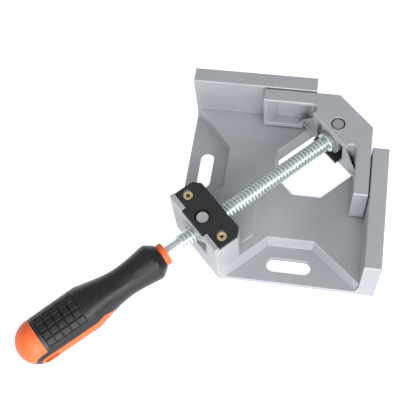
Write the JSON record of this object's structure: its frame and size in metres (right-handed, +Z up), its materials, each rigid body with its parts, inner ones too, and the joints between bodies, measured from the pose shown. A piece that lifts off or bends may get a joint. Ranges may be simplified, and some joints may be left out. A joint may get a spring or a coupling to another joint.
{
  "type": "corner clamp",
  "caption": "Bench corner clamp: cast base with two square fences, swinging screw, swivelling angled jaw and soft-grip handle.",
  "frame": {"origin": "point on the underside of the base, on the clamp line that halves the corner, 91.75 mm from where the two inner fence faces would meet", "axes": "+X along the screw towards the corner, the handle on -X; +Z up from the bench; +Y across, the base is the same on both sides of the XZ plane"},
  "size_m": [0.3041, 0.218, 0.0516],
  "materials": {
    "casting": "satin",
    "black_plate": "satin",
    "yellow_screw": "satin",
    "zinc": "bright",
    "dull_steel": "satin",
    "orange_core": "gloss",
    "dark_grip": "matte"
  },
  "bodies": {
    "frame": {"base_frame": "casting", "nut_cover_plate": "black_plate", "cover_screw_left": "yellow_screw", "cover_screw_right": "yellow_screw"},
    "nut": {"trunnion_nut": "dull_steel"},
    "carrier": {"pivot_block": "casting", "thrust_washer": "dull_steel", "end_washer": "dull_steel"},
    "screw": {"spindle": "zinc", "retaining_clip": "dull_steel", "handle_core": "orange_core", "handle_grip": "dark_grip"},
    "jaw": {"moving_jaw": "casting", "jaw_retaining_plate": "black_plate", "jaw_screw_left": "yellow_screw", "jaw_screw_right": "yellow_screw"}
  },
  "joints": [
    {"name": "nut_swing", "type": "hinge", "parent": "frame", "child": "nut", "pos_m": [-0.07304, 0, 0.034], "axis": [0, 0, 1], "range_deg": [-0.15, 0.15]},
    {"name": "jaw_feed", "type": "slide", "parent": "nut", "child": "carrier", "axis": [-1, 0, 0], "range_m": [0, 0.066]},
    {"name": "spindle_turn", "type": "hinge", "parent": "carrier", "child": "screw", "pos_m": [0, 0, 0.034], "axis": [-1, 0, 0], "range_deg": [0, 7920]},
    {"name": "jaw_swivel", "type": "hinge", "parent": "carrier", "child": "jaw", "pos_m": [0.05355, 0, 0.034], "axis": [0, 0, 1], "range_deg": [-0.35, 0.35]}
  ],
  "couplings": [
    {"joint": "spindle_turn", "follows": "jaw_feed", "rad_per_m": 2094.4}
  ]
}
